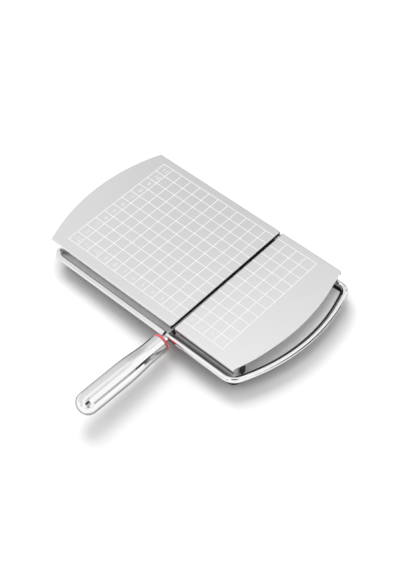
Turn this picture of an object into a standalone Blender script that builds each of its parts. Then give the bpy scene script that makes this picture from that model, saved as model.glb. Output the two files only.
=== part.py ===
"""Cheese slicer board: two folded steel boards with a slot, and a hinged bow that carries the cutting wire.

Metres, Z up, the table at zero. The long way of the board runs along X and the handle points to -Y.
"""

import math

import bmesh
import bpy
from mathutils import Matrix, Vector

# Levels above the table
TABLE_TO_TOP = 0.022
ROD_LEVEL = 0.0148
FRAME_BOTTOM = 0.0070

# Steel boards
SHEET = 0.001
BOARD_DEPTH = 0.127
LEFT_REACH = 0.1305
LEFT_BULGE = 0.0122
RIGHT_REACH = 0.0597
RIGHT_BULGE = 0.0103
SLOT_WIDTH = 0.0022
FOLD_DEPTH = 0.0042
EDGE_BEND = 0.0013

# General clearances
CLEAR = 0.0003
WELD = 0.00001
OVERRUN = 0.001

# Bent rods: the moving bow on the right and the fixed rail on the left
ROD_DIAMETER = 0.0047
FRONT_LEG_OUTSET = 0.0049
HINGE_INSET = 0.0067
BOW_OUTSET = 0.02075
BOW_END_RADIUS = 0.15105
BOW_END_CENTRE_Y = 0.0043
BOW_FRONT_BEND = 0.0122
BOW_REAR_BEND = 0.0089
BOW_TIP_X = -0.0028
BOW_TIP_TAPER = 0.0018
BOW_REAR_END_X = -0.0022
RAIL_FRONT_END_X = -0.0040
RAIL_REAR_END_X = -0.0042
RAIL_LEFT_INSET = 0.0097
RAIL_BEND = 0.0060
TIP_STEPS = (1.0, 0.97, 0.88, 0.72, 0.45)

# Hinge pin and the eye that holds the rear end of the wire
PIN_DIAMETER = 0.0022
PIN_INSERT = 0.0075
EYE_THICKNESS = 0.0016
EYE_RADIUS = 0.0041
EYE_TAB_RADIUS = 0.0015
WIRE_OVER_HINGE = 0.0036

# Cutting wire
WIRE_DIAMETER = 0.0005
WIRE_HOLE_DIAMETER = 0.0010
WIRE_CLEAR = 0.0002
WIRE_AT_RING_Z = 0.0201
FERRULE_DIAMETER = 0.0016
FERRULE_LENGTH = 0.0028
WIRE_STICK_OUT = 0.0008

# Handle, measured along its own axis from the face of the ring
RING_OUTSET = 0.0073
HANDLE_RISE_DEG = 3.3
RING_DIAMETER = 0.0148
RING_THICKNESS = 0.0023
RING_ROUND = 0.0005
HANDLE_LENGTH = 0.0852
HANDLE_NECK_DIAMETER = 0.0152
HANDLE_SWELL_DIAMETER = 0.0181
HANDLE_BORE_DIAMETER = 0.0126
HANDLE_BORE_DEPTH = 0.0600
HANDLE_DOME = 0.0082
STATION_SHARES = (0.0, 0.10, 0.167, 0.22, 0.274, 0.328, 0.382, 0.436, 0.53, 0.80, 1.0)
SWELL_SHARES = (0.0, 0.02, 0.03, 0.13, 0.34, 0.57, 0.78, 0.93, 1.0, 1.0, 0.95)
DOME_STEPS = 7
CAP_THICKNESS = 0.0020
CAP_INSET = 0.0004
CORE_START = 0.0130
CORE_LENGTH = 0.0420
SCREW_DIAMETER = 0.0021
SCREW_THREAD_DIAMETER = 0.0040
SCREW_HEAD_DIAMETER = 0.0040
SCREW_HEAD = 0.0010
SCREW_ENGAGE = 0.0460
SPACER_DIAMETER = 0.0056

# Floors under the boards
FLOOR_SHEET = 0.0008
FLOOR_FRONT_OUTSET = 0.0038
FLOOR_REAR_INSET = 0.0039
FLOOR_BOW_INSET = 0.00665
FLOOR_ARC_SHIFT_X = 0.0017
FLOOR_ARC_SHIFT_Y = 0.0013
FLOOR_GAP_LEFT_X = -0.0030
FLOOR_GAP_RIGHT_X = 0.0011
FLOOR_CORNER = 0.0045

# Moulded frame under the floors
FRAME_RIM = 0.0028
FRAME_FRONT_INSET = 0.0015
FRAME_REAR_OUTSET = 0.0044
FRAME_NOTCH_WIDTH = 0.0044
FRAME_NOTCH_INSET = 0.0051
FRAME_WEB = 0.0014
FRAME_CORNER = 0.0040
POCKET_EDGES_X = (-0.1195, -0.1165, -0.0995, -0.0970, -0.0610, -0.0585, -0.0255, -0.0230, -0.0110, -0.0085,
                  0.0085, 0.0110, 0.0230, 0.0255, 0.0430, 0.0455)
POCKET_SIDE_INSET = 0.0255
POCKET_GAP = 0.0025

# Posts, feet and their screws
POST_DIAMETER = 0.0080
POST_BORE_DIAMETER = 0.0032
POST_FRONT_INSET = 0.0145
POST_REAR_INSET = 0.0185
POST_LEFT_INSET = 0.0225
POST_RIGHT_INSET = 0.0052
POST_FROM_SLOT = 0.0170
FOOT_FRONT_INSET = 0.0070
FOOT_DIAMETER = 0.0130
FOOT_ROUND = 0.0008
FOOT_RECESS_DIAMETER = 0.0068
FOOT_RECESS = 0.0022
BASE_SCREW_DIAMETER = 0.0026
BASE_SCREW_HEAD_DIAMETER = 0.0054
BASE_SCREW_HEAD = 0.0014
BASE_SCREW_REACH = 0.0060
CLEARANCE_HOLE_DIAMETER = 0.0034

# Bars behind the front folds and the block at the end of the right one
BAR_SLOT_INSET = 0.0040
BAR_RIGHT_INSET = 0.0003
CORNER_BLOCK_WIDTH = 0.0028
CORNER_BLOCK_DEPTH = 0.0038
CORNER_BLOCK_INSET = 0.0069

# Bearing blocks and rail clamps
BLOCK_WIDTH = 0.0084
BLOCK_UNDER_ROD = 0.0018
BLOCK_DEPTH = 0.0104
BLOCK_TOP = 0.0198
BLOCK_BEVEL = 0.0006
RIGHT_BEARING_INSET = 0.0056
INNER_BEARING_X = 0.0159
CLAMP_REAR_INNER_X = -0.0300
CLAMP_REAR_OUTER_X = -0.0900
CLAMP_SIDE_Y = 0.0250

# Facets
ROD_BEVEL_RESOLUTION = 5
ARC_STEPS = 20
BEND_STEPS = 6
HANDLE_SEGMENTS = 32
ROUND_SEGMENTS = 20
SMALL_SEGMENTS = 14
SHARP_ANGLE_DEG = 35.0

HALF = 0.5
QUARTER_TURN = math.pi / 2
HALF_TURN = math.pi

# Levels and places that follow from the sizes above
ROD_RADIUS = ROD_DIAMETER * HALF
FLOOR_TOP = ROD_LEVEL - ROD_RADIUS - CLEAR
FRAME_TOP = FLOOR_TOP - FLOOR_SHEET - CLEAR
BLOCK_BOTTOM = ROD_LEVEL - ROD_RADIUS - CLEAR - BLOCK_UNDER_ROD
UNDER_BOARD = TABLE_TO_TOP - SHEET
BAR_DIAMETER = UNDER_BOARD - FLOOR_TOP - 2 * CLEAR
BOARD_HALF = BOARD_DEPTH * HALF
FRONT_LEG_Y = -BOARD_HALF - FRONT_LEG_OUTSET
HINGE_Y = BOARD_HALF - HINGE_INSET
BOW_END_CENTRE_X = RIGHT_REACH + BOW_OUTSET - BOW_END_RADIUS
RAIL_LEFT_X = RAIL_LEFT_INSET - LEFT_REACH
RING_FACE_Y = FRONT_LEG_Y - RING_OUTSET
FLOOR_FRONT_Y = -BOARD_HALF - FLOOR_FRONT_OUTSET
FLOOR_REAR_Y = HINGE_Y - FLOOR_REAR_INSET
FLOOR_LEFT_X = RAIL_LEFT_X
FLOOR_ARC_RADIUS = BOW_END_RADIUS - FLOOR_BOW_INSET
FLOOR_ARC_CENTRE_X = BOW_END_CENTRE_X + FLOOR_ARC_SHIFT_X
FLOOR_ARC_CENTRE_Y = BOW_END_CENTRE_Y + FLOOR_ARC_SHIFT_Y
FRAME_REAR_Y = HINGE_Y + FRAME_REAR_OUTSET
FRAME_FRONT_Y = FLOOR_FRONT_Y + FRAME_FRONT_INSET
BAR_Y = SHEET + CLEAR + BAR_DIAMETER * HALF - BOARD_HALF
POCKET_SIDE_Y = BOARD_HALF - POCKET_SIDE_INSET
POST_FRONT_Y = POST_FRONT_INSET - BOARD_HALF
FOOT_FRONT_Y = FOOT_FRONT_INSET - BOARD_HALF
POST_REAR_Y = BOARD_HALF - POST_REAR_INSET
POST_LEFT_OUTER_X = POST_LEFT_INSET - LEFT_REACH
POST_LEFT_INNER_X = -POST_FROM_SLOT
POST_RIGHT_INNER_X = POST_FROM_SLOT
POST_RIGHT_OUTER_X = RIGHT_REACH - POST_RIGHT_INSET
RIGHT_BEARING_X = RIGHT_REACH - RIGHT_BEARING_INSET


def start_clean():
    for old in list(bpy.data.objects):
        bpy.data.objects.remove(old, do_unlink=True)
    made = []
    for name in ("cheese_slicer_board", "cutters"):
        group = bpy.data.collections.new(name)
        bpy.context.scene.collection.children.link(group)
        made.append(group)
    return made


PARTS, CUTTERS = start_clean()


def paint(name, colour, roughness, metallic):
    material = bpy.data.materials.new(name)
    material.use_nodes = True
    shader = material.node_tree.nodes["Principled BSDF"]
    shader.inputs["Base Color"].default_value = (*colour, 1.0)
    shader.inputs["Roughness"].default_value = roughness
    shader.inputs["Metallic"].default_value = metallic
    material.diffuse_color = (*colour, 1.0)
    return material


SATIN_STEEL = (0.62, 0.62, 0.62), 0.34, 1.0
BRIGHT_STEEL = (0.74, 0.74, 0.74), 0.12, 1.0
DULL_STEEL = (0.42, 0.42, 0.42), 0.42, 1.0
RED_SILICONE = (0.72, 0.035, 0.040), 0.48, 0.0
BLACK_PLASTIC = (0.016, 0.016, 0.017), 0.50, 0.0
GREY_NYLON = (0.30, 0.30, 0.29), 0.55, 0.0
BLACK_RUBBER = (0.020, 0.020, 0.020), 0.85, 0.0


def add_object(name, data, finish, smooth=True):
    made = bpy.data.objects.new(name, data)
    PARTS.objects.link(made)
    if finish is not None:
        data.materials.clear()
        data.materials.append(paint(name + "_finish", *finish))
    if smooth:
        data.shade_smooth()
        data.set_sharp_from_angle(angle=math.radians(SHARP_ANGLE_DEG))
    return made


def mesh_from_curve(curve):
    """The closed mesh of a curve, with its caps welded on."""
    holder = bpy.data.objects.new("holder", curve)
    PARTS.objects.link(holder)
    seen = holder.evaluated_get(bpy.context.evaluated_depsgraph_get())
    mesh = bpy.data.meshes.new_from_object(seen)
    bpy.data.objects.remove(holder, do_unlink=True)
    bpy.data.curves.remove(curve)
    body = bmesh.new()
    body.from_mesh(mesh)
    bmesh.ops.remove_doubles(body, verts=body.verts, dist=WELD)
    bmesh.ops.recalc_face_normals(body, faces=body.faces)
    body.to_mesh(mesh)
    body.free()
    return mesh


def rod_mesh(name, points, radius, shares=None, resolution=ROD_BEVEL_RESOLUTION):
    """A round bar along the points; shares thin it where they fall below one."""
    curve = bpy.data.curves.new(name, "CURVE")
    curve.dimensions = "3D"
    curve.bevel_depth = radius
    curve.bevel_resolution = resolution
    curve.use_fill_caps = True
    spline = curve.splines.new("POLY")
    spline.points.add(len(points) - 1)
    for index, place in enumerate(points):
        spline.points[index].co = (*place, 1.0)
        spline.points[index].radius = shares[index] if shares else 1.0
    return mesh_from_curve(curve)


def flat_mesh(name, outlines, thickness):
    """A flat piece of even thickness around z = 0; the outlines after the first are holes."""
    curve = bpy.data.curves.new(name, "CURVE")
    curve.dimensions = "2D"
    curve.fill_mode = "BOTH"
    curve.extrude = thickness * HALF
    for outline in outlines:
        spline = curve.splines.new("POLY")
        spline.points.add(len(outline) - 1)
        spline.use_cyclic_u = True
        for index, (across, along) in enumerate(outline):
            spline.points[index].co = (across, along, 0.0, 1.0)
    return mesh_from_curve(curve)


def turned(name, profile, finish, segments=ROUND_SEGMENTS):
    """A turned piece about its own Z; profile lists (radius, height) down the outer side from the top."""
    mesh = bpy.data.meshes.new(name)
    corners = [(radius, 0.0, height) for radius, height in profile]
    closed = profile[0][0] > 0.0
    edges = [(index, index + 1) for index in range(len(corners) - 1)]
    if closed:
        edges.append((len(corners) - 1, 0))
    mesh.from_pydata(corners, edges, [])
    made = add_object(name, mesh, finish, smooth=False)
    screw = made.modifiers.new("turn", "SCREW")
    screw.axis = "Z"
    screw.angle = 2 * HALF_TURN
    screw.steps = segments
    screw.render_steps = segments
    screw.use_merge_vertices = True
    screw.merge_threshold = WELD
    screw.use_smooth_shade = True
    return made


def fixed_mesh(made):
    """Bakes the modifiers of a turned piece so that it can be cut and shaded."""
    seen = made.evaluated_get(bpy.context.evaluated_depsgraph_get())
    mesh = bpy.data.meshes.new_from_object(seen)
    made.modifiers.clear()
    made.data = mesh
    body = bmesh.new()
    body.from_mesh(mesh)
    bmesh.ops.remove_doubles(body, verts=body.verts, dist=WELD)
    bmesh.ops.recalc_face_normals(body, faces=body.faces)
    body.to_mesh(mesh)
    body.free()
    mesh.shade_smooth()
    mesh.set_sharp_from_angle(angle=math.radians(SHARP_ANGLE_DEG))
    return made


def turned_solid(name, profile, finish, segments=ROUND_SEGMENTS):
    return fixed_mesh(turned(name, profile, finish, segments))


def add_cutter(name, mesh):
    made = bpy.data.objects.new(name, mesh)
    CUTTERS.objects.link(made)
    made.hide_render = True
    made.display_type = "WIRE"
    return made


def round_cutter(name, diameter, length, place, turn=None, segments=ROUND_SEGMENTS):
    """A cylinder along Z around the place; turn is an optional rotation matrix."""
    mesh = bpy.data.meshes.new(name)
    body = bmesh.new()
    bmesh.ops.create_cone(body, cap_ends=True, segments=segments, radius1=diameter * HALF,
                          radius2=diameter * HALF, depth=length)
    body.to_mesh(mesh)
    body.free()
    made = add_cutter(name, mesh)
    made.matrix_world = Matrix.Translation(place) @ (turn or Matrix.Identity(4))
    return made


def box_mesh(name, size, centre=(0.0, 0.0, 0.0)):
    mesh = bpy.data.meshes.new(name)
    body = bmesh.new()
    bmesh.ops.create_cube(body, size=1.0)
    bmesh.ops.scale(body, vec=size, verts=body.verts)
    bmesh.ops.translate(body, vec=centre, verts=body.verts)
    body.to_mesh(mesh)
    body.free()
    return mesh


def cut(made, cutter):
    step = made.modifiers.new("cut_" + cutter.name, "BOOLEAN")
    step.operation = "DIFFERENCE"
    step.solver = "EXACT"
    step.object = cutter
    return made


def soften(made, width, segments=2):
    step = made.modifiers.new("soften", "BEVEL")
    step.width = width
    step.segments = segments
    step.limit_method = "ANGLE"
    step.angle_limit = math.radians(SHARP_ANGLE_DEG)
    return made


def arc(centre_x, centre_y, radius, start, stop, steps):
    turns = [start + (stop - start) * index / steps for index in range(steps + 1)]
    return [(centre_x + radius * math.cos(turn), centre_y + radius * math.sin(turn)) for turn in turns]


def circle(centre_x, centre_y, radius, steps=SMALL_SEGMENTS):
    return arc(centre_x, centre_y, radius, 0.0, 2 * HALF_TURN, steps)[:-1]


def rounded(corners, radius, steps=BEND_STEPS):
    """The outline with each corner rounded; corners is a list of (x, y) in order."""
    points = []
    count = len(corners)
    for index, corner in enumerate(corners):
        here = Vector(corner)
        back = (Vector(corners[index - 1]) - here).normalized()
        ahead = (Vector(corners[(index + 1) % count]) - here).normalized()
        opening = back.angle(ahead)
        reach = radius / math.tan(opening * HALF)
        centre = here + (back + ahead).normalized() * (radius / math.sin(opening * HALF))
        first = here + back * reach - centre
        last = here + ahead * reach - centre
        sweep = first.angle_signed(last)
        for step in range(steps + 1):
            turned_by = Matrix.Rotation(-sweep * step / steps, 2)
            points.append(tuple(centre + turned_by @ first))
    return points


# Steel boards

def board(name, side, reach, bulge):
    """A steel sheet with folded front, rear and slot edges; its bowed outer end is left open."""
    half = BOARD_HALF
    slot = SLOT_WIDTH * HALF
    span = half - EDGE_BEND - CLEAR
    radius = (span ** 2 + bulge ** 2) / (2 * bulge)
    swing = math.asin(span / radius)
    outer = arc(reach + bulge - radius, 0.0, radius, swing, -swing, ARC_STEPS)
    outline = [(slot, -half), (slot, half), (reach, half)] + outer + [(reach, -half)]
    outline = [(side * across, along) for across, along in outline]
    body = bmesh.new()
    ring = [body.verts.new((across, along, TABLE_TO_TOP)) for across, along in outline]
    order = ring if side < 0 else list(reversed(ring))
    body.faces.new(order)
    weight = body.edges.layers.float.new("bevel_weight_edge")
    folded = [ring[-1], ring[0], ring[1], ring[2]]
    lower = [body.verts.new(corner.co - Vector((0.0, 0.0, FOLD_DEPTH))) for corner in folded]
    for index in range(3):
        body.faces.new((folded[index], folded[index + 1], lower[index + 1], lower[index]))
        body.edges.get((folded[index], folded[index + 1]))[weight] = 1.0
    for index in (1, 2):
        body.edges.get((folded[index], lower[index]))[weight] = 1.0
    bmesh.ops.recalc_face_normals(body, faces=body.faces)
    top = max(body.faces, key=lambda face: face.calc_area())
    if top.normal.z < 0.0:
        bmesh.ops.reverse_faces(body, faces=body.faces)
    mesh = bpy.data.meshes.new(name)
    body.to_mesh(mesh)
    body.free()
    made = add_object(name, mesh, SATIN_STEEL)
    bend = made.modifiers.new("bend", "BEVEL")
    bend.limit_method = "WEIGHT"
    bend.width = EDGE_BEND
    bend.segments = BEND_STEPS
    sheet = made.modifiers.new("sheet", "SOLIDIFY")
    sheet.thickness = SHEET
    sheet.offset = -1.0
    sheet.use_even_offset = True
    fixed_mesh(made)
    for corner in made.data.vertices:
        if abs(corner.co.z - UNDER_BOARD) < WELD:
            corner.co.z = UNDER_BOARD
    return made


# Rods

def bow_path():
    """The centre line of the bow in plan, from its tip at the slot round to its rear end."""
    front_y = FRONT_LEG_Y + BOW_FRONT_BEND
    rear_y = HINGE_Y - BOW_REAR_BEND
    front_reach = BOW_END_RADIUS - BOW_FRONT_BEND
    rear_reach = BOW_END_RADIUS - BOW_REAR_BEND
    front_x = BOW_END_CENTRE_X + math.sqrt(front_reach ** 2 - (front_y - BOW_END_CENTRE_Y) ** 2)
    rear_x = BOW_END_CENTRE_X + math.sqrt(rear_reach ** 2 - (rear_y - BOW_END_CENTRE_Y) ** 2)
    front_turn = math.atan2(front_y - BOW_END_CENTRE_Y, front_x - BOW_END_CENTRE_X)
    rear_turn = math.atan2(rear_y - BOW_END_CENTRE_Y, rear_x - BOW_END_CENTRE_X)
    tip = []
    for index in range(len(TIP_STEPS)):
        share = index / (len(TIP_STEPS) - 1)
        tip.append((BOW_TIP_X + BOW_TIP_TAPER * (1.0 - share ** HALF), FRONT_LEG_Y))
    path = list(reversed(tip))
    shares = list(reversed(TIP_STEPS))
    path += arc(front_x, front_y, BOW_FRONT_BEND, -QUARTER_TURN, front_turn, BEND_STEPS + BEND_STEPS)
    path += arc(BOW_END_CENTRE_X, BOW_END_CENTRE_Y, BOW_END_RADIUS, front_turn, rear_turn, ARC_STEPS)[1:]
    path += arc(rear_x, rear_y, BOW_REAR_BEND, rear_turn, QUARTER_TURN, BEND_STEPS + BEND_STEPS)[1:]
    path.append((BOW_REAR_END_X, HINGE_Y))
    shares += [1.0] * (len(path) - len(shares))
    return path, shares


def rail_path():
    """The centre line of the fixed rail in plan, from its front end at the slot round to its rear end."""
    corner_x = RAIL_LEFT_X + RAIL_BEND
    path = [(RAIL_FRONT_END_X, FRONT_LEG_Y)]
    path += arc(corner_x, FRONT_LEG_Y + RAIL_BEND, RAIL_BEND, -QUARTER_TURN, -HALF_TURN, BEND_STEPS)
    path += arc(corner_x, HINGE_Y - RAIL_BEND, RAIL_BEND, HALF_TURN, QUARTER_TURN, BEND_STEPS)
    path.append((RAIL_REAR_END_X, HINGE_Y))
    return path


ALONG_X = Matrix.Rotation(QUARTER_TURN, 4, "Y")
ALONG_Y = Matrix.Rotation(QUARTER_TURN, 4, "X")
HINGE_PLACE = Vector((0.0, HINGE_Y, ROD_LEVEL))
HANDLE_LEAN = math.radians(HANDLE_RISE_DEG)
SCREW_FROM_RING = (FRONT_LEG_Y - RING_FACE_Y) / math.cos(HANDLE_LEAN)
RING_FACE_Z = ROD_LEVEL + (FRONT_LEG_Y - RING_FACE_Y) * math.tan(HANDLE_LEAN)
RING_PLACE = Vector((0.0, RING_FACE_Y, RING_FACE_Z))
HANDLE_FRAME = Matrix.Translation(RING_PLACE) @ Matrix.Rotation(QUARTER_TURN - HANDLE_LEAN, 4, "X")


def along_handle(made):
    """Stands a turned piece on the handle's axis, its own +Z pointing away from the board."""
    made.matrix_world = HANDLE_FRAME
    return made


def wire_ends():
    """The straight line of the wire, from above the hinge to behind the cap of the handle."""
    rear = HINGE_PLACE + Vector((0.0, 0.0, WIRE_OVER_HINGE))
    front = Vector((0.0, RING_FACE_Y, WIRE_AT_RING_Z))
    heading = (front - rear).normalized()
    return rear, front, heading


WIRE_REAR, WIRE_FRONT, WIRE_HEADING = wire_ends()
WIRE_TURN = Vector((0.0, 0.0, 1.0)).rotation_difference(WIRE_HEADING).to_matrix().to_4x4()


def wire_hole(name, distance, length):
    """A cutter on the line of the wire, centred the distance beyond the face of the ring."""
    place = WIRE_FRONT + WIRE_HEADING * distance
    return round_cutter(name, WIRE_HOLE_DIAMETER, length, place, WIRE_TURN, SMALL_SEGMENTS)


def make_bow():
    plan, shares = bow_path()
    points = [(across, along, ROD_LEVEL) for across, along in plan]
    made = add_object("wire_bow", rod_mesh("wire_bow", points, ROD_RADIUS, shares), BRIGHT_STEEL)
    pin_place = HINGE_PLACE + Vector((BOW_REAR_END_X, 0.0, 0.0))
    cut(made, round_cutter("bow_pin_bore", PIN_DIAMETER + 2 * CLEAR, 2 * (PIN_INSERT + CLEAR), pin_place,
                           ALONG_X, SMALL_SEGMENTS))
    screw_place = Vector((0.0, FRONT_LEG_Y, ROD_LEVEL))
    lean = Matrix.Rotation(QUARTER_TURN - HANDLE_LEAN, 4, "X")
    cut(made, round_cutter("bow_screw_bore", SCREW_DIAMETER + 2 * CLEAR, 2 * ROD_DIAMETER, screw_place, lean,
                           SMALL_SEGMENTS))
    return made


def make_rail():
    points = [(across, along, ROD_LEVEL) for across, along in rail_path()]
    made = add_object("left_rail", rod_mesh("left_rail", points, ROD_RADIUS), BRIGHT_STEEL)
    place = HINGE_PLACE + Vector((RAIL_REAR_END_X, 0.0, 0.0))
    cut(made, round_cutter("rail_pin_bore", PIN_DIAMETER + 2 * CLEAR, 2 * (PIN_INSERT + CLEAR), place, ALONG_X,
                           SMALL_SEGMENTS))
    return made


def make_hinge_pin():
    reach = BOW_REAR_END_X - RAIL_REAR_END_X + 2 * PIN_INSERT
    radius = PIN_DIAMETER * HALF
    made = turned_solid("hinge_pin", [(0.0, reach * HALF), (radius, reach * HALF), (radius, -reach * HALF),
                                      (0.0, -reach * HALF)], DULL_STEEL, SMALL_SEGMENTS)
    middle = (BOW_REAR_END_X + RAIL_REAR_END_X) * HALF
    made.matrix_world = Matrix.Translation(HINGE_PLACE + Vector((middle, 0.0, 0.0))) @ ALONG_X
    return made


def make_wire_eye():
    """The flat eye on the rear leg of the bow; its narrow head stands up into the slot."""
    lean = math.acos((EYE_RADIUS - EYE_TAB_RADIUS) / WIRE_OVER_HINGE)
    turns = arc(0.0, 0.0, EYE_RADIUS, QUARTER_TURN + lean, QUARTER_TURN - lean + 2 * HALF_TURN, ARC_STEPS)
    head = arc(0.0, WIRE_OVER_HINGE, EYE_TAB_RADIUS, QUARTER_TURN - lean, QUARTER_TURN + lean, BEND_STEPS)
    hole = circle(0.0, 0.0, ROD_RADIUS + CLEAR, ROUND_SEGMENTS)
    made = add_object("wire_eye", flat_mesh("wire_eye", [turns + head, hole], EYE_THICKNESS), DULL_STEEL)
    stand = Matrix.Rotation(QUARTER_TURN, 4, "Z") @ Matrix.Rotation(QUARTER_TURN, 4, "X")
    made.matrix_world = Matrix.Translation(HINGE_PLACE) @ stand
    cut(made, round_cutter("eye_wire_hole", WIRE_HOLE_DIAMETER, 2 * EYE_RADIUS, WIRE_REAR, WIRE_TURN,
                           SMALL_SEGMENTS))
    return made


def make_ferrule(name, distance, origin):
    """A crimped sleeve round the wire, centred the distance along it from the origin."""
    outer = FERRULE_DIAMETER * HALF
    inner = WIRE_DIAMETER * HALF + WIRE_CLEAR
    half = FERRULE_LENGTH * HALF
    profile = [(outer, half), (outer, -half), (inner, -half), (inner, half)]
    made = turned_solid(name, profile, DULL_STEEL, SMALL_SEGMENTS)
    made.matrix_world = Matrix.Translation(origin + WIRE_HEADING * distance) @ WIRE_TURN
    return made


def make_wire():
    behind = EYE_RADIUS + CLEAR + FERRULE_LENGTH + WIRE_STICK_OUT
    ahead = RING_THICKNESS + CAP_INSET + CAP_THICKNESS + 2 * CLEAR + FERRULE_LENGTH + WIRE_STICK_OUT
    start = WIRE_REAR - WIRE_HEADING * behind
    stop = WIRE_FRONT + WIRE_HEADING * ahead
    mesh = rod_mesh("cutting_wire", [tuple(start), tuple(stop)], WIRE_DIAMETER * HALF, resolution=2)
    return add_object("cutting_wire", mesh, BRIGHT_STEEL)


# Handle

def make_ring():
    outer = RING_DIAMETER * HALF
    inner = SCREW_THREAD_DIAMETER * HALF + CLEAR
    start = 0.0
    stop = RING_THICKNESS
    profile = [(inner, stop), (outer - RING_ROUND, stop), (outer, stop - RING_ROUND), (outer, start + RING_ROUND),
               (outer - RING_ROUND, start), (inner, start)]
    made = along_handle(turned_solid("handle_ring", profile, RED_SILICONE, HANDLE_SEGMENTS))
    return cut(made, wire_hole("ring_wire_hole", RING_THICKNESS * HALF, 2 * RING_THICKNESS))


def make_shell():
    """The hollow turned grip: it swells towards its far half and ends in a dome."""
    start = RING_THICKNESS + CLEAR
    barrel = HANDLE_LENGTH - HANDLE_DOME - start
    neck = HANDLE_NECK_DIAMETER * HALF
    swell = HANDLE_SWELL_DIAMETER * HALF - neck
    bore = HANDLE_BORE_DIAMETER * HALF
    stations = zip(STATION_SHARES, SWELL_SHARES)
    outer = [(neck + swell * share, start + barrel * station) for station, share in stations]
    dome = []
    for step in range(1, DOME_STEPS):
        turn = QUARTER_TURN * step / DOME_STEPS
        dome.append((outer[-1][0] * math.cos(turn), start + barrel + HANDLE_DOME * math.sin(turn)))
    inner = [(bore, start), (bore, start + HANDLE_BORE_DEPTH), (0.0, start + HANDLE_BORE_DEPTH + bore)]
    profile = [(0.0, HANDLE_LENGTH)] + list(reversed(dome)) + list(reversed(outer)) + inner
    return along_handle(turned_solid("handle_shell", profile, BRIGHT_STEEL, HANDLE_SEGMENTS))


def make_cap():
    """The steel disc in the mouth of the grip that the screw and the wire pass through."""
    outer = HANDLE_BORE_DIAMETER * HALF - CLEAR
    inner = SCREW_THREAD_DIAMETER * HALF + CLEAR
    start = RING_THICKNESS + CAP_INSET
    stop = start + CAP_THICKNESS
    made = turned_solid("handle_cap", [(outer, stop), (outer, start), (inner, start), (inner, stop)], DULL_STEEL)
    along_handle(made)
    return cut(made, wire_hole("cap_wire_hole", (start + stop) * HALF, 2 * CAP_THICKNESS))


def make_core():
    """The threaded plug inside the grip."""
    outer = HANDLE_BORE_DIAMETER * HALF - CLEAR
    inner = SCREW_THREAD_DIAMETER * HALF + CLEAR
    stop = CORE_START + CORE_LENGTH
    profile = [(outer, stop), (outer, CORE_START), (inner, CORE_START), (inner, stop)]
    return along_handle(turned_solid("handle_core", profile, GREY_NYLON))


def make_tension_screw():
    """The screw that holds the grip to the bow: head, thin shank through the bow, thread in the core."""
    shank = SCREW_DIAMETER * HALF
    thread = SCREW_THREAD_DIAMETER * HALF
    head = SCREW_HEAD_DIAMETER * HALF
    under_head = -SCREW_FROM_RING - ROD_RADIUS - CLEAR
    step = -SCREW_FROM_RING + ROD_RADIUS + CLEAR
    profile = [(0.0, SCREW_ENGAGE), (thread, SCREW_ENGAGE), (thread, step), (shank, step), (shank, under_head),
               (head, under_head), (head, under_head - SCREW_HEAD), (0.0, under_head - SCREW_HEAD)]
    return along_handle(turned_solid("tension_screw", profile, DULL_STEEL, SMALL_SEGMENTS))


def make_spacer():
    """The sleeve on the screw between the bow and the ring."""
    outer = SPACER_DIAMETER * HALF
    inner = SCREW_THREAD_DIAMETER * HALF + CLEAR
    start = -SCREW_FROM_RING + ROD_RADIUS + 2 * CLEAR
    stop = -CLEAR
    profile = [(outer, stop), (outer, start), (inner, start), (inner, stop)]
    return along_handle(turned_solid("handle_spacer", profile, BRIGHT_STEEL))


# Floors and frame

def post_places():
    """Plan places of the eight posts, named by board and corner."""
    return {
        "left_post_front_outer": (POST_LEFT_OUTER_X, POST_FRONT_Y),
        "left_post_rear_outer": (POST_LEFT_OUTER_X, POST_REAR_Y),
        "left_post_front_inner": (POST_LEFT_INNER_X, POST_FRONT_Y),
        "left_post_rear_inner": (POST_LEFT_INNER_X, POST_REAR_Y),
        "right_post_front_inner": (POST_RIGHT_INNER_X, POST_FRONT_Y),
        "right_post_rear_inner": (POST_RIGHT_INNER_X, POST_REAR_Y),
        "right_post_front_outer": (POST_RIGHT_OUTER_X, POST_FRONT_Y),
        "right_post_rear_outer": (POST_RIGHT_OUTER_X, POST_REAR_Y),
    }


def right_end(front_y, rear_y, radius):
    """The bowed right end of the floor or frame, between its front and rear edges."""
    start = math.asin((front_y - FLOOR_ARC_CENTRE_Y) / radius)
    stop = math.asin((rear_y - FLOOR_ARC_CENTRE_Y) / radius)
    return arc(FLOOR_ARC_CENTRE_X, FLOOR_ARC_CENTRE_Y, radius, start, stop, ARC_STEPS)


def foot_places():
    """Plan places of the four feet; the rear ones stand under the outer rear posts."""
    return {
        "left_foot_front": (POST_LEFT_OUTER_X, FOOT_FRONT_Y),
        "right_foot_front": (POST_RIGHT_OUTER_X, FOOT_FRONT_Y),
        "left_foot_rear": (POST_LEFT_OUTER_X, POST_REAR_Y),
        "right_foot_rear": (POST_RIGHT_OUTER_X, POST_REAR_Y),
    }


def block_places():
    """Plan places of the blocks on the rods, and whether the rod runs along X there."""
    return {
        "right_bearing": (RIGHT_BEARING_X, HINGE_Y, True),
        "inner_bearing": (INNER_BEARING_X, HINGE_Y, True),
        "rail_clamp_inner": (CLAMP_REAR_INNER_X, HINGE_Y, True),
        "rail_clamp_rear": (CLAMP_REAR_OUTER_X, HINGE_Y, True),
        "rail_clamp_left_front": (RAIL_LEFT_X, -CLAMP_SIDE_Y, False),
        "rail_clamp_left_rear": (RAIL_LEFT_X, CLAMP_SIDE_Y, False),
    }


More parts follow.
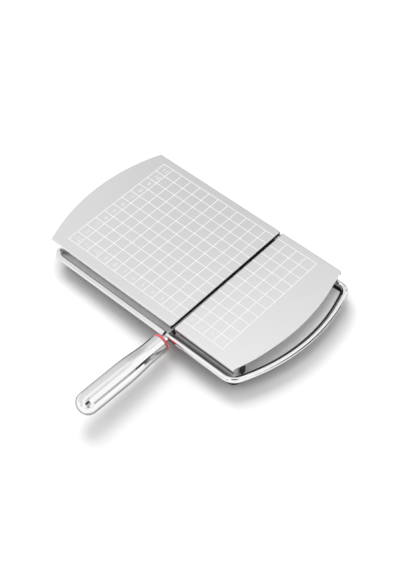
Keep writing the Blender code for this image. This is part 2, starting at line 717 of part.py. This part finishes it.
def block_seats():
    """One cutter for each block; it leaves the block a clearance all round."""
    seats = {}
    for name, (across, along, on_hinge) in block_places().items():
        width, depth = (BLOCK_WIDTH, BLOCK_DEPTH) if on_hinge else (BLOCK_DEPTH, BLOCK_WIDTH)
        size = (width + 2 * CLEAR, depth + 2 * CLEAR, BLOCK_TOP - BLOCK_BOTTOM + CLEAR)
        centre = (across, along, (BLOCK_TOP + BLOCK_BOTTOM - CLEAR) * HALF)
        seats[name] = add_cutter(name + "_seat", box_mesh(name + "_seat", size, centre))
    return seats


def make_floors(seats):
    left_outline = rounded([(FLOOR_LEFT_X, FLOOR_FRONT_Y), (FLOOR_GAP_LEFT_X, FLOOR_FRONT_Y),
                            (FLOOR_GAP_LEFT_X, FLOOR_REAR_Y), (FLOOR_LEFT_X, FLOOR_REAR_Y)], FLOOR_CORNER)
    slot_end = [(FLOOR_GAP_RIGHT_X, FLOOR_REAR_Y)]
    slot_end += arc(FLOOR_GAP_RIGHT_X + FLOOR_CORNER, FLOOR_FRONT_Y + FLOOR_CORNER, FLOOR_CORNER, -HALF_TURN,
                    -QUARTER_TURN, BEND_STEPS)
    right_outline = slot_end + right_end(FLOOR_FRONT_Y, FLOOR_REAR_Y, FLOOR_ARC_RADIUS)
    lists = (("left_floor", left_outline, FLOOR_LEFT_X, FLOOR_GAP_LEFT_X),
             ("right_floor", right_outline, FLOOR_GAP_RIGHT_X, FLOOR_ARC_RADIUS))
    for name, outline, left, right in lists:
        piece = add_object(name, flat_mesh(name, [outline], FLOOR_SHEET), DULL_STEEL, smooth=False)
        piece.location.z = FLOOR_TOP - FLOOR_SHEET * HALF
        for post, (across, along) in post_places().items():
            if left < across < right:
                place = (across, along, FLOOR_TOP)
                cut(piece, round_cutter(post + "_floor_hole", CLEARANCE_HOLE_DIAMETER, FLOOR_TOP, place))
        for block, (across, along, on_hinge) in block_places().items():
            if left - BLOCK_DEPTH < across < right:
                cut(piece, seats[block])


def make_frame(seats):
    """The black moulding that carries both floors, hollowed from below between its ribs."""
    height = FRAME_TOP - FRAME_BOTTOM
    end = right_end(FRAME_FRONT_Y, FRAME_REAR_Y, FLOOR_ARC_RADIUS + FRAME_RIM)
    left_x = RAIL_LEFT_X
    left = arc(left_x + FRAME_CORNER, FRAME_REAR_Y - FRAME_CORNER, FRAME_CORNER, QUARTER_TURN, HALF_TURN,
               BEND_STEPS)
    left += arc(left_x + FRAME_CORNER, FRAME_FRONT_Y + FRAME_CORNER, FRAME_CORNER, HALF_TURN,
                HALF_TURN + QUARTER_TURN, BEND_STEPS)
    made = add_object("under_frame", flat_mesh("under_frame", [left + end], height), BLACK_PLASTIC,
                      smooth=False)
    made.location.z = FRAME_BOTTOM + height * HALF
    pocket_height = height - FRAME_WEB + OVERRUN
    level = FRAME_BOTTOM - OVERRUN + pocket_height * HALF
    spans = list(zip(POCKET_EDGES_X[1::2], POCKET_EDGES_X[2::2]))
    rows = ((-POCKET_SIDE_Y, -POCKET_GAP), (POCKET_GAP, POCKET_SIDE_Y))
    for row, (near, far) in enumerate(rows):
        for column, (low, high) in enumerate(spans):
            size = (high - low, far - near, pocket_height)
            centre = ((high + low) * HALF, (far + near) * HALF, level)
            cut(made, add_cutter(f"pocket_{row}_{column}", box_mesh("pocket", size, centre)))
    notch_size = (FRAME_NOTCH_WIDTH, FRAME_REAR_OUTSET + FRAME_NOTCH_INSET + OVERRUN, 2 * height)
    notch_y = FRAME_REAR_Y + OVERRUN - notch_size[1] * HALF
    cut(made, add_cutter("eye_notch", box_mesh("eye_notch", notch_size, (0.0, notch_y, FRAME_TOP))))
    for seat in seats.values():
        cut(made, seat)
    for name, (across, along) in post_places().items():
        place = (across, along, FRAME_BOTTOM)
        cut(made, round_cutter(name + "_hole", CLEARANCE_HOLE_DIAMETER, 2 * height + OVERRUN, place))
        if not name.endswith("rear_outer"):
            cut(made, round_cutter(name + "_recess", FOOT_RECESS_DIAMETER, 2 * FOOT_RECESS, place))
    for name, (across, along) in foot_places().items():
        if name.endswith("front"):
            place = (across, along, FRAME_BOTTOM)
            cut(made, round_cutter(name + "_hole", CLEARANCE_HOLE_DIAMETER, 2 * height + OVERRUN, place))


def make_posts():
    outer = POST_DIAMETER * HALF
    inner = POST_BORE_DIAMETER * HALF
    low = FLOOR_TOP + CLEAR
    high = UNDER_BOARD - CLEAR
    for name, (across, along) in post_places().items():
        made = turned_solid(name, [(outer, high), (outer, low), (inner, low), (inner, high)], DULL_STEEL)
        made.location = (across, along, 0.0)


def make_feet():
    outer = FOOT_DIAMETER * HALF
    bore = CLEARANCE_HOLE_DIAMETER * HALF
    recess = FOOT_RECESS_DIAMETER * HALF
    top = FRAME_BOTTOM - CLEAR
    profile = [(bore, top), (outer - FOOT_ROUND, top), (outer, top - FOOT_ROUND), (outer, FOOT_ROUND),
               (outer - FOOT_ROUND, 0.0), (recess, 0.0), (recess, FOOT_RECESS), (bore, FOOT_RECESS)]
    for name, (across, along) in foot_places().items():
        made = turned_solid(name, profile, BLACK_RUBBER)
        made.location = (across, along, 0.0)


def screw_set(name, places, under_head, tip):
    """Identical cap screws on one shared mesh, from the level of the tip down to the head."""
    shank = BASE_SCREW_DIAMETER * HALF
    head = BASE_SCREW_HEAD_DIAMETER * HALF
    profile = [(0.0, tip), (shank, tip), (shank, under_head), (head, under_head),
               (head, under_head - BASE_SCREW_HEAD), (0.0, under_head - BASE_SCREW_HEAD)]
    first = turned_solid(name + "_1", profile, DULL_STEEL, SMALL_SEGMENTS)
    screws = [first]
    for number in range(2, len(places) + 1):
        copy = bpy.data.objects.new(f"{name}_{number}", first.data)
        PARTS.objects.link(copy)
        screws.append(copy)
    for made, (across, along) in zip(screws, places):
        made.location = (across, along, 0.0)


def make_screws():
    posts = [place for name, place in post_places().items() if not name.endswith("rear_outer")]
    front = [place for name, place in foot_places().items() if name.endswith("front")]
    rear = [place for name, place in foot_places().items() if name.endswith("rear")]
    post_tip = FLOOR_TOP + BASE_SCREW_REACH
    screw_set("base_screw", posts, FRAME_BOTTOM + FOOT_RECESS - CLEAR, post_tip)
    screw_set("front_foot_screw", front, FOOT_RECESS - CLEAR, FRAME_TOP - CLEAR)
    screw_set("rear_foot_screw", rear, FOOT_RECESS - CLEAR, post_tip)


# Blocks and bars

def make_blocks():
    """The moulded blocks round the rods; each has its origin on the rod's axis."""
    low = BLOCK_BOTTOM - ROD_LEVEL
    high = BLOCK_TOP - ROD_LEVEL
    for name, (across, along, on_hinge) in block_places().items():
        middle = Vector((across, along, ROD_LEVEL))
        width, depth = (BLOCK_WIDTH, BLOCK_DEPTH) if on_hinge else (BLOCK_DEPTH, BLOCK_WIDTH)
        mesh = box_mesh(name, (width, depth, high - low), (0.0, 0.0, (high + low) * HALF))
        made = add_object(name, mesh, BLACK_PLASTIC)
        made.location = middle
        soften(made, BLOCK_BEVEL)
        turn = ALONG_X if on_hinge else ALONG_Y
        cut(made, round_cutter(name + "_bore", ROD_DIAMETER + 2 * CLEAR, 2 * BLOCK_DEPTH, middle, turn))


def make_bars():
    """The round bars that stiffen the front folds from behind, between the floors and the boards."""
    level = (UNDER_BOARD + FLOOR_TOP) * HALF
    radius = BAR_DIAMETER * HALF
    rail_side = RAIL_LEFT_X + ROD_RADIUS + CLEAR
    spans = (("left_front_bar", rail_side, -BAR_SLOT_INSET),
             ("right_front_bar", BAR_SLOT_INSET, RIGHT_REACH - BAR_RIGHT_INSET))
    for name, low, high in spans:
        half = (high - low) * HALF
        profile = [(0.0, half), (radius - BLOCK_BEVEL, half), (radius, half - BLOCK_BEVEL),
                   (radius, BLOCK_BEVEL - half), (radius - BLOCK_BEVEL, -half), (0.0, -half)]
        made = turned_solid(name, profile, BRIGHT_STEEL)
        made.matrix_world = Matrix.Translation((low + half, BAR_Y, level)) @ ALONG_X


def make_corner_block():
    """The black block beyond the right end of the right bar."""
    low = FLOOR_TOP + CLEAR
    high = UNDER_BOARD - CLEAR
    size = (CORNER_BLOCK_WIDTH, CORNER_BLOCK_DEPTH, high - low)
    made = add_object("front_corner_block", box_mesh("front_corner_block", size), BLACK_PLASTIC)
    across = RIGHT_REACH - BAR_RIGHT_INSET + CLEAR + CORNER_BLOCK_WIDTH * HALF
    along = CORNER_BLOCK_INSET + CORNER_BLOCK_DEPTH * HALF - BOARD_HALF
    made.location = (across, along, (high + low) * HALF)
    soften(made, BLOCK_BEVEL * HALF)


# Assembly

def make_bow_group():
    """Everything that swings on the hinge, parented to an empty on the hinge's axis."""
    ring_side = RING_THICKNESS + CAP_INSET + CAP_THICKNESS + 2 * CLEAR + FERRULE_LENGTH * HALF
    rear_side = -(EYE_RADIUS + CLEAR + FERRULE_LENGTH * HALF)
    moving = [make_bow(), make_wire_eye(), make_wire(), make_ring(), make_shell(), make_cap(), make_core(),
              make_tension_screw(), make_spacer(), make_ferrule("front_wire_ferrule", ring_side, WIRE_FRONT),
              make_ferrule("rear_wire_ferrule", rear_side, WIRE_REAR)]
    hinge = bpy.data.objects.new("bow_hinge_axis", None)
    PARTS.objects.link(hinge)
    hinge.location = HINGE_PLACE
    bpy.context.view_layer.update()
    for piece in moving:
        piece.parent = hinge
        piece.matrix_parent_inverse = Matrix.Translation(-HINGE_PLACE)
    return hinge


def centre_everything():
    """Shifts the whole assembly so that the middle of its footprint is at the origin."""
    bpy.context.view_layer.update()
    corners = []
    for piece in PARTS.objects:
        if piece.type == "MESH":
            corners += [piece.matrix_world @ Vector(corner) for corner in piece.bound_box]
    middle_x = (min(c.x for c in corners) + max(c.x for c in corners)) * HALF
    middle_y = (min(c.y for c in corners) + max(c.y for c in corners)) * HALF
    root = bpy.data.objects.new("assembly", None)
    PARTS.objects.link(root)
    for piece in list(PARTS.objects) + list(CUTTERS.objects):
        if piece.parent is None and piece is not root:
            piece.parent = root
    root.location = (-middle_x, -middle_y, 0.0)
    bpy.context.view_layer.update()


def build():
    board("left_board", -1.0, LEFT_REACH, LEFT_BULGE)
    board("right_board", 1.0, RIGHT_REACH, RIGHT_BULGE)
    make_rail()
    make_hinge_pin()
    seats = block_seats()
    make_floors(seats)
    make_frame(seats)
    make_posts()
    make_feet()
    make_screws()
    make_blocks()
    make_bars()
    make_corner_block()
    make_bow_group()
    centre_everything()


build()
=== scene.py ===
"""Cheese slicer board on a white studio floor, dressed over its CAD frame."""

import math

import bpy
from mathutils import Matrix, Vector


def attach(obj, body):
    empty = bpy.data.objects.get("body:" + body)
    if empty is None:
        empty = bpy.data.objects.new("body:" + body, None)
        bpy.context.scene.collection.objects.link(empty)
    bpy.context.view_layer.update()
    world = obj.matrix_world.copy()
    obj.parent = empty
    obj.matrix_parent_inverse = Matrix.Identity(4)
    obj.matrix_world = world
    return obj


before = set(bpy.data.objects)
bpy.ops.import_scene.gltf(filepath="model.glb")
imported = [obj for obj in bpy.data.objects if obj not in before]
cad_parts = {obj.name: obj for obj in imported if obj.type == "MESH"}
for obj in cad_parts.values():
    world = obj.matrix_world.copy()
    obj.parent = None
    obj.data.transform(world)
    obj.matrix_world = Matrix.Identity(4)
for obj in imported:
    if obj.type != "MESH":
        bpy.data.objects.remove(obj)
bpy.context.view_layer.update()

# Places in the row frame: the slot's middle on the table, and the level of the boards
SLOT_X = 0.0299517
MIDDLE_Y = 0.0482386
TOP = 0.022

# The etched grid. Its corner is in metres, all else in centimetres from that corner.
CM = 0.01
GRID_X = SLOT_X - 12.03 * CM
GRID_Y = MIDDLE_Y - 5.40 * CM
GRID_DEPTH = 11.0
LEFT_GRID = (0.0, 11.9)
RIGHT_GRID = (12.0, 16.0)
RIGHT_GRID_SHIFT = 0.15
LINE_HALF_WIDTH = 0.024
ETCH_DEPTH = 0.0002

# The painted shade on the slot's sides: how far it reaches from the slot's middle, and how far below the
# top it starts
SLOT_SHADE_REACH = 0.0022
SLOT_SHADE_START = 0.0006

# The ruler numbers, with their places in the grid's centimetres
NUMBER_HEIGHT = 0.0042
DIGIT_SHARE = 0.72
NUMBER_THICKNESS = 0.00001
NUMBER_LIFT = 0.00002
LEFT_COLUMNS = 12
LEFT_ROWS = 11
RIGHT_COLUMNS = 4
NUMBER_ACROSS = 0.62
NUMBER_ALONG = 0.47
ROW_MIDDLE = 0.5
RIGHT_NUMBERS_START = 11.66

# The part of a noise's range that is in use
NOISE_LOW = 0.3
NOISE_HIGH = 0.7

# Sockets of the colour mix node
MIX_FACTOR = 0
MIX_FIRST = 6
MIX_SECOND = 7
MIX_RESULT = 2


# Node helpers

def new_material(name, colour, roughness, metallic):
    material = bpy.data.materials.new(name)
    material.use_nodes = True
    tree = material.node_tree
    shader = tree.nodes["Principled BSDF"]
    shader.inputs["Base Color"].default_value = (*colour, 1.0)
    shader.inputs["Roughness"].default_value = roughness
    shader.inputs["Metallic"].default_value = metallic
    material.diffuse_color = (*colour, 1.0)
    return material, tree, shader


def object_point(tree, scale=(1.0, 1.0, 1.0)):
    coords = tree.nodes.new("ShaderNodeTexCoord")
    mapping = tree.nodes.new("ShaderNodeMapping")
    mapping.inputs["Scale"].default_value = scale
    tree.links.new(coords.outputs["Object"], mapping.inputs["Vector"])
    return mapping.outputs["Vector"]


def split_axes(tree, vector):
    made = tree.nodes.new("ShaderNodeSeparateXYZ")
    tree.links.new(vector, made.inputs["Vector"])
    return made.outputs["X"], made.outputs["Y"], made.outputs["Z"]


def noise(tree, point, scale, detail=3.0):
    made = tree.nodes.new("ShaderNodeTexNoise")
    made.inputs["Scale"].default_value = scale
    made.inputs["Detail"].default_value = detail
    tree.links.new(point, made.inputs["Vector"])
    return made.outputs["Fac"]


def ramp(tree, value, low, high, from_low=NOISE_LOW, from_high=NOISE_HIGH):
    made = tree.nodes.new("ShaderNodeMapRange")
    made.inputs["From Min"].default_value = from_low
    made.inputs["From Max"].default_value = from_high
    made.inputs["To Min"].default_value = low
    made.inputs["To Max"].default_value = high
    tree.links.new(value, made.inputs["Value"])
    return made.outputs["Result"]


def maths(tree, operation, first, second=None):
    made = tree.nodes.new("ShaderNodeMath")
    made.operation = operation
    for socket, value in zip(made.inputs, (first, second)):
        if value is None:
            continue
        if isinstance(value, (int, float)):
            socket.default_value = value
        else:
            tree.links.new(value, socket)
    return made.outputs["Value"]


def mix(tree, factor, first, second):
    """Mixes two colours, each three numbers or a socket."""
    made = tree.nodes.new("ShaderNodeMix")
    made.data_type = "RGBA"
    for index, colour in ((MIX_FIRST, first), (MIX_SECOND, second)):
        if isinstance(colour, tuple):
            made.inputs[index].default_value = (*colour, 1.0)
        else:
            tree.links.new(colour, made.inputs[index])
    tree.links.new(factor, made.inputs[MIX_FACTOR])
    return made.outputs[MIX_RESULT]


def bump(tree, shader, height, strength, distance):
    made = tree.nodes.new("ShaderNodeBump")
    made.inputs["Strength"].default_value = strength
    made.inputs["Distance"].default_value = distance
    tree.links.new(height, made.inputs["Height"])
    tree.links.new(made.outputs["Normal"], shader.inputs["Normal"])


def vary_roughness(tree, shader, value, low, high):
    tree.links.new(ramp(tree, value, low, high), shader.inputs["Roughness"])


# Kinds of material

def brushed_steel(name, colour, roughness, metallic=1.0):
    """Satin steel with fine streaks along X."""
    material, tree, shader = new_material(name, colour, roughness, metallic)
    lines = noise(tree, object_point(tree, (0.02, 1.0, 1.0)), 900.0, 4.0)
    vary_roughness(tree, shader, lines, roughness - 0.05, roughness + 0.05)
    bump(tree, shader, lines, 0.12, 0.00003)
    return material


def polished_steel(name, colour, roughness, rim=1.0):
    """Bright steel with a faint cloud of handling marks; rim tints what it mirrors at a grazing view."""
    material, tree, shader = new_material(name, colour, roughness, 1.0)
    shader.inputs["Specular Tint"].default_value = (rim, rim, rim, 1.0)
    point = object_point(tree)
    marks = noise(tree, point, 160.0, 5.0)
    vary_roughness(tree, shader, marks, roughness - 0.03, roughness + 0.04)
    bump(tree, shader, noise(tree, point, 2400.0, 2.0), 0.04, 0.00002)
    return material


def moulded(name, colour, roughness, grain):
    """Plastic, silicone or rubber with a fine grain."""
    material, tree, shader = new_material(name, colour, roughness, 0.0)
    pebbles = noise(tree, object_point(tree), grain)
    vary_roughness(tree, shader, pebbles, roughness - 0.06, roughness + 0.06)
    bump(tree, shader, pebbles, 0.25, 0.00008)
    return material


def line_mask(tree, value):
    """1 where the value in centimetres lies within half a line's width of a whole number."""
    nearest = maths(tree, "ROUND", value)
    away = maths(tree, "ABSOLUTE", maths(tree, "SUBTRACT", value, nearest))
    return maths(tree, "LESS_THAN", away, LINE_HALF_WIDTH)


def inside(tree, value, low, high):
    """1 where the value lies between low and high, with half a line's width added at both ends."""
    above = maths(tree, "GREATER_THAN", value, low - LINE_HALF_WIDTH)
    below = maths(tree, "LESS_THAN", value, high + LINE_HALF_WIDTH)
    return maths(tree, "MULTIPLY", above, below)


def grid_place(tree, value, start):
    """A place in metres as centimetres from the start."""
    return maths(tree, "MULTIPLY", maths(tree, "SUBTRACT", value, start), 1.0 / CM)


PLATE_COLOUR = (0.87, 0.87, 0.87)
ETCHED_COLOUR = (0.85, 0.85, 0.85)
# Near black: painted shade for the inside of the slot
SLOT_SHADE_COLOUR = (0.02, 0.02, 0.02)
PLATE_ROUGHNESS = (0.17, 0.21)
UNPOLISHED = 0.35


def etched_board(name, span, shift):
    """Satin steel with an etched square grid across the span, and painted shade on the slot's sides."""
    material, tree, shader = new_material(name, PLATE_COLOUR, 0.19, 1.0)
    x, y, z = split_axes(tree, tree.nodes.new("ShaderNodeTexCoord").outputs["Object"])
    across = grid_place(tree, x, GRID_X + shift * CM)
    along = grid_place(tree, y, GRID_Y)
    lines = maths(tree, "MAXIMUM", line_mask(tree, across), line_mask(tree, along))
    field = maths(tree, "MULTIPLY", inside(tree, across, *span), inside(tree, along, 0.0, GRID_DEPTH))
    top = maths(tree, "GREATER_THAN", z, TOP - ETCH_DEPTH)
    etched = maths(tree, "MULTIPLY", maths(tree, "MULTIPLY", lines, field), top)
    # Painted shade: below the top, the slot's sides are coloured near black and made non-metal, standing
    # in for the shade inside the slot.
    from_slot = maths(tree, "ABSOLUTE", maths(tree, "SUBTRACT", x, SLOT_X))
    slot_shade = maths(tree, "MULTIPLY", maths(tree, "LESS_THAN", from_slot, SLOT_SHADE_REACH),
                    maths(tree, "LESS_THAN", z, TOP - SLOT_SHADE_START))
    lit = mix(tree, etched, PLATE_COLOUR, ETCHED_COLOUR)
    tree.links.new(mix(tree, slot_shade, lit, SLOT_SHADE_COLOUR), shader.inputs["Base Color"])
    etched_and_slot_shade = maths(tree, "MAXIMUM", etched, slot_shade)
    tree.links.new(maths(tree, "SUBTRACT", 1.0, etched_and_slot_shade), shader.inputs["Metallic"])
    streaks = noise(tree, object_point(tree, (0.02, 1.0, 1.0)), 2600.0, 2.0)
    base = ramp(tree, streaks, *PLATE_ROUGHNESS)
    added = maths(tree, "MULTIPLY", etched_and_slot_shade, UNPOLISHED)
    tree.links.new(maths(tree, "ADD", base, added), shader.inputs["Roughness"])
    bump(tree, shader, streaks, 0.03, 0.00002)
    return material


def darker_in_front(material, light, dark):
    """Paints shade on the strip of a floor that lies before the boards' front fold: a darker grey,
    standing in for the shade in the channel under the fold.
    """
    tree = material.node_tree
    y = split_axes(tree, object_point(tree))[1]
    # Painted shade: dark grey before the fold, the floor's own colour behind it
    behind_fold = ramp(tree, y, 0.0, 1.0, -0.0152, -0.0130)
    tree.links.new(mix(tree, behind_fold, dark, light), tree.nodes["Principled BSDF"].inputs["Base Color"])


# Materials

FLOOR_COLOUR = (0.97, 0.97, 0.97)
# Dark grey painted shade for the channel before the front fold
CHANNEL_SHADE_COLOUR = (0.20, 0.20, 0.20)

bright = polished_steel("polished_steel", (0.88, 0.88, 0.88), 0.12, 0.25)
grip = polished_steel("grip_steel", (0.88, 0.88, 0.88), 0.06, 0.10)
wire_steel = polished_steel("wire_steel", (0.96, 0.96, 0.96), 0.30)
bar_steel = brushed_steel("bar_steel", (0.90, 0.90, 0.90), 0.35, 0.3)
dull = brushed_steel("plain_steel", (0.50, 0.50, 0.50), 0.34)
floor_steel = brushed_steel("floor_steel", FLOOR_COLOUR, 0.48, 0.10)
painted_shade_floor = brushed_steel("floor_steel_with_painted_shade", FLOOR_COLOUR, 0.48, 0.10)
# Painted shade: the right floor's strip before the front fold is dark grey, standing in for the shade in
# the channel there.
darker_in_front(painted_shade_floor, FLOOR_COLOUR, CHANNEL_SHADE_COLOUR)
silicone = moulded("red_silicone", (0.76, 0.11, 0.11), 0.50, 1200.0)
black = moulded("black_moulding", (0.018, 0.018, 0.019), 0.48, 900.0)
rubber = moulded("black_rubber", (0.022, 0.022, 0.022), 0.80, 1500.0)
nylon = moulded("grey_nylon", (0.32, 0.32, 0.31), 0.55, 900.0)

NAMED = {
    "left_board": etched_board("etched_left", LEFT_GRID, 0.0),
    "right_board": etched_board("etched_right", RIGHT_GRID, RIGHT_GRID_SHIFT),
    "left_rail": bright,
    "wire_bow": bright,
    "handle_spacer": bright,
    "cutting_wire": wire_steel,
    "handle_shell": grip,
    "handle_ring": silicone,
    "handle_core": nylon,
    "right_floor": painted_shade_floor,
    "left_floor": floor_steel,
    "under_frame": black,
    "front_corner_block": black,
}


def material_for(node):
    if node in NAMED:
        return NAMED[node]
    if node.endswith("_front_bar"):
        return bar_steel
    if "_foot_" in node and "screw" not in node:
        return rubber
    if "bearing" in node or "clamp" in node:
        return black
    return dull


for node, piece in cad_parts.items():
    material = material_for(node)
    if not piece.material_slots:
        piece.data.materials.append(material)
    for place in piece.material_slots:
        place.link = "OBJECT"
        place.material = material


# Ruler numbers

def etched_number(text, across, along, material):
    """A plain number lying on the board, its middle at the given place in the grid."""
    curve = bpy.data.curves.new("number", "FONT")
    curve.body = text
    curve.size = NUMBER_HEIGHT / DIGIT_SHARE
    curve.align_x = "CENTER"
    curve.align_y = "CENTER"
    curve.resolution_u = 2
    curve.extrude = NUMBER_THICKNESS
    written = bpy.data.objects.new("number", curve)
    bpy.context.scene.collection.objects.link(written)
    seen = written.evaluated_get(bpy.context.evaluated_depsgraph_get())
    mesh = bpy.data.meshes.new_from_object(seen)
    bpy.data.objects.remove(written, do_unlink=True)
    made = bpy.data.objects.new("number", mesh)
    bpy.context.scene.collection.objects.link(made)
    made.location = (GRID_X + across * CM, GRID_Y + along * CM, TOP + NUMBER_LIFT)
    mesh.materials.clear()
    mesh.materials.append(material)
    return made


def joined(name, pieces, body):
    bpy.context.view_layer.update()
    bpy.ops.object.select_all(action="DESELECT")
    for piece in pieces:
        piece.select_set(True)
    bpy.context.view_layer.objects.active = pieces[0]
    bpy.ops.object.join()
    made = bpy.context.view_layer.objects.active
    made.name = name
    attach(made, body)


etch, etch_tree, etch_shader = new_material("etched_number", (0.72, 0.72, 0.72), 0.55, 0.0)
etch_grain = noise(etch_tree, object_point(etch_tree), 3000.0, 2.0)
vary_roughness(etch_tree, etch_shader, etch_grain, 0.48, 0.62)

left_numbers = []
for cell in range(LEFT_COLUMNS):
    text = str(LEFT_COLUMNS - cell)
    left_numbers.append(etched_number(text, cell + NUMBER_ACROSS, NUMBER_ALONG, etch))
for row in range(1, LEFT_ROWS):
    left_numbers.append(etched_number(str(row + 1), NUMBER_ACROSS, row + ROW_MIDDLE, etch))
joined("left_ruler_numbers", left_numbers, "base")

right_numbers = []
for cell in range(1, RIGHT_COLUMNS + 1):
    right_numbers.append(etched_number(str(cell), RIGHT_NUMBERS_START + cell, NUMBER_ALONG, etch))
joined("right_ruler_numbers", right_numbers, "base")


# Studio floor

FLOOR_REACH = 30.0
FLOOR_CORNERS = [(-FLOOR_REACH, -FLOOR_REACH, 0.0), (FLOOR_REACH, -FLOOR_REACH, 0.0),
                 (FLOOR_REACH, FLOOR_REACH, 0.0), (-FLOOR_REACH, FLOOR_REACH, 0.0)]
floor_mesh = bpy.data.meshes.new("studio_floor")
floor_mesh.from_pydata(FLOOR_CORNERS, [], [(0, 1, 2, 3)])
floor = bpy.data.objects.new("studio_floor", floor_mesh)
bpy.context.scene.collection.objects.link(floor)
paper, paper_tree, paper_shader = new_material("studio_paper", (0.95, 0.95, 0.95), 0.9, 0.0)
paper_shader.inputs["Specular IOR Level"].default_value = 0.0
floor_mesh.materials.append(paper)


# Sky: a pale room lit in panels

# Shares of the half turn from the right horizon over the top to the left one, with the light at each
PANEL_SHARES = (
    (0.0, 0.04), (0.075, 0.04), (0.100, 1.07), (0.390, 1.07), (0.405, 0.30), (0.460, 0.30),
    (0.475, 1.07), (0.645, 1.07), (0.662, 0.82), (0.685, 0.82), (0.700, 0.86), (1.0, 0.86))
# A dark round patch towards the photographer; it shows in the dome of the grip
DARK_PATCH = Vector((0.424, -0.470, 0.774))
DARK_PATCH_LIGHT = 0.06
DARK_PATCH_EDGE = (0.90, 0.94)
# The left part of the room, from this share on, is dimmer towards its far wall
LEFT_PART_EDGE = (0.56, 0.62)
FAR_WALL_DIMMING = 0.34
FAR_WALL_EDGE = (0.42, 0.60)

world = bpy.data.worlds.new("studio")
bpy.context.scene.world = world
world.use_nodes = True
sky = world.node_tree
sky.nodes.clear()
sky_way = sky.nodes.new("ShaderNodeTexCoord").outputs["Generated"]
sky_x, sky_y, sky_z = split_axes(sky, sky_way)
background = sky.nodes.new("ShaderNodeBackground")
sky_end = sky.nodes.new("ShaderNodeOutputWorld")

swing = maths(sky, "DIVIDE", maths(sky, "ARCTAN2", sky_z, sky_x), math.pi)
panels = sky.nodes.new("ShaderNodeValToRGB")
while len(panels.color_ramp.elements) < len(PANEL_SHARES):
    panels.color_ramp.elements.new(0.5)
for element, (share, strength) in zip(panels.color_ramp.elements, PANEL_SHARES):
    element.position = share
    element.color = (strength, strength, strength, 1.0)
sky.links.new(swing, panels.inputs["Fac"])

facing = sky.nodes.new("ShaderNodeVectorMath")
facing.operation = "DOT_PRODUCT"
facing.inputs[1].default_value = DARK_PATCH
sky.links.new(sky_way, facing.inputs[0])
patch = ramp(sky, facing.outputs["Value"], 1.0, DARK_PATCH_LIGHT, *DARK_PATCH_EDGE)

in_left_part = ramp(sky, swing, 0.0, 1.0, *LEFT_PART_EDGE)
dimming = ramp(sky, sky_y, 0.0, FAR_WALL_DIMMING, *FAR_WALL_EDGE)
kept_light = maths(sky, "SUBTRACT", 1.0, maths(sky, "MULTIPLY", in_left_part, dimming))
share_left = maths(sky, "MULTIPLY", patch, kept_light)
sky.links.new(mix(sky, share_left, (0.0, 0.0, 0.0), panels.outputs["Color"]), background.inputs["Color"])
sky.links.new(background.outputs["Background"], sky_end.inputs["Surface"])


# Key light: a soft panel that no metal mirrors

KEY_PLACE = Vector((-0.80, 0.50, 1.30))
KEY_SIDE = 1.0
KEY_POWER = 16.0

key_lamp = bpy.data.lights.new("key_panel", "AREA")
key_lamp.shape = "RECTANGLE"
key_lamp.size = KEY_SIDE
key_lamp.size_y = KEY_SIDE
key_lamp.energy = KEY_POWER
key = bpy.data.objects.new("key_panel", key_lamp)
bpy.context.scene.collection.objects.link(key)
key.location = KEY_PLACE
key.rotation_mode = "QUATERNION"
key.rotation_quaternion = (-KEY_PLACE).to_track_quat("-Z", "Y")
key.visible_glossy = False


# Camera, as fitted to the grid in the photo: its eye is in the grid's centimetres

EYE = (51.242, -41.381, 73.750)
CAMERA_RIGHT = Vector((0.742867, 0.669439, -0.000420))
CAMERA_UP = Vector((-0.518069, 0.575291, 0.632964))
CAMERA_BACK = Vector((0.423973, -0.469990, 0.774181))

camera_data = bpy.data.cameras.new("camera")
camera_data.lens = 78.87
camera_data.sensor_width = 36.0
camera_data.clip_start = 0.05
camera_data.clip_end = 100.0
camera = bpy.data.objects.new("camera", camera_data)
bpy.context.scene.collection.objects.link(camera)
eye = Vector((GRID_X + EYE[0] * CM, GRID_Y + EYE[1] * CM, TOP + EYE[2] * CM))
turn = Matrix((CAMERA_RIGHT, CAMERA_UP, CAMERA_BACK)).transposed().to_4x4()
camera.matrix_world = Matrix.Translation(eye) @ turn
bpy.context.scene.camera = camera
bpy.context.scene.view_settings.view_transform = "Standard"
